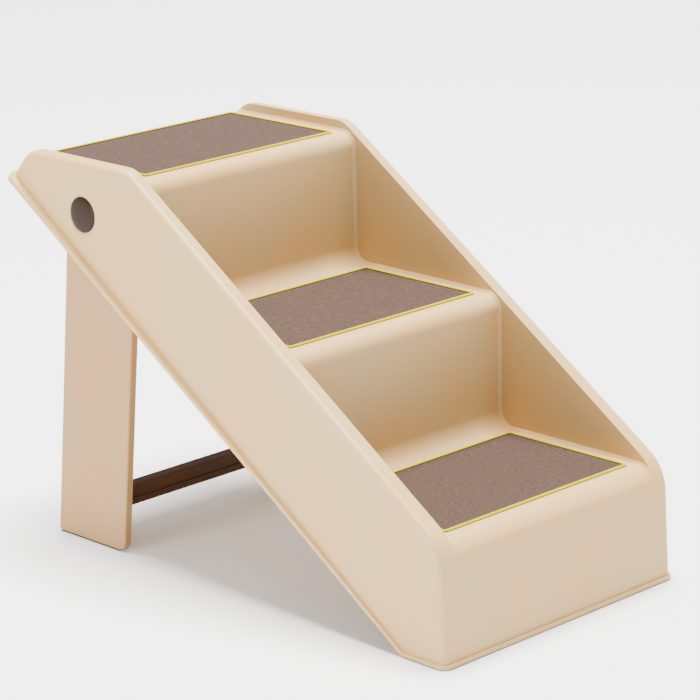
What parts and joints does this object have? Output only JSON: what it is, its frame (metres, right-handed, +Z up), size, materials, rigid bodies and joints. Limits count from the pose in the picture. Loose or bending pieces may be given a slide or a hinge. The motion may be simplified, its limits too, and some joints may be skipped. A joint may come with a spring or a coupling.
{
  "type": "pet stairs",
  "caption": "Folding pet stairs: a hollow moulded step body with side rails and felt tread mats, held up at the back by a hinged leg frame with a crossbar.",
  "frame": {"origin": "on the floor, under the middle of the overall length and width", "axes": "+X across the steps to the right-hand side as climbed, +Y from the low front step to the high back, +Z up"},
  "size_m": [0.411, 0.766, 0.507],
  "materials": {
    "body_plastic": "fine satin moulded texture",
    "leg_plastic": "fine satin moulded texture",
    "bar_plastic": "satin",
    "felt": "short fibre felt",
    "edge_binding": "narrow woven edge binding",
    "pin_plastic": "satin",
    "screw_steel": "zinc plated",
    "pad_rubber": "soft matt rubber"
  },
  "bodies": {
    "stair_body": {"stair_body": "body_plastic", "bottom_mat": "felt", "middle_mat": "felt", "top_mat": "felt", "bottom_mat_binding": "edge_binding", "middle_mat_binding": "edge_binding", "top_mat_binding": "edge_binding", "front_foot_pad": "pad_rubber", "left_foot_pad": "pad_rubber", "right_foot_pad": "pad_rubber", "left_pivot_pin": "pin_plastic", "right_pivot_pin": "pin_plastic", "left_pivot_screw": "screw_steel", "right_pivot_screw": "screw_steel"},
    "leg_frame": {"left_leg": "leg_plastic", "right_leg": "leg_plastic", "leg_crossbar": "bar_plastic", "crossbar_screws": "screw_steel", "left_leg_pad": "pad_rubber", "right_leg_pad": "pad_rubber"}
  },
  "joints": [
    {"name": "leg_fold", "type": "hinge", "parent": "stair_body", "child": "leg_frame", "pos_m": [0, 0.2409, 0.439], "axis": [-1, 0, 0], "range_deg": [0, 61]}
  ]
}
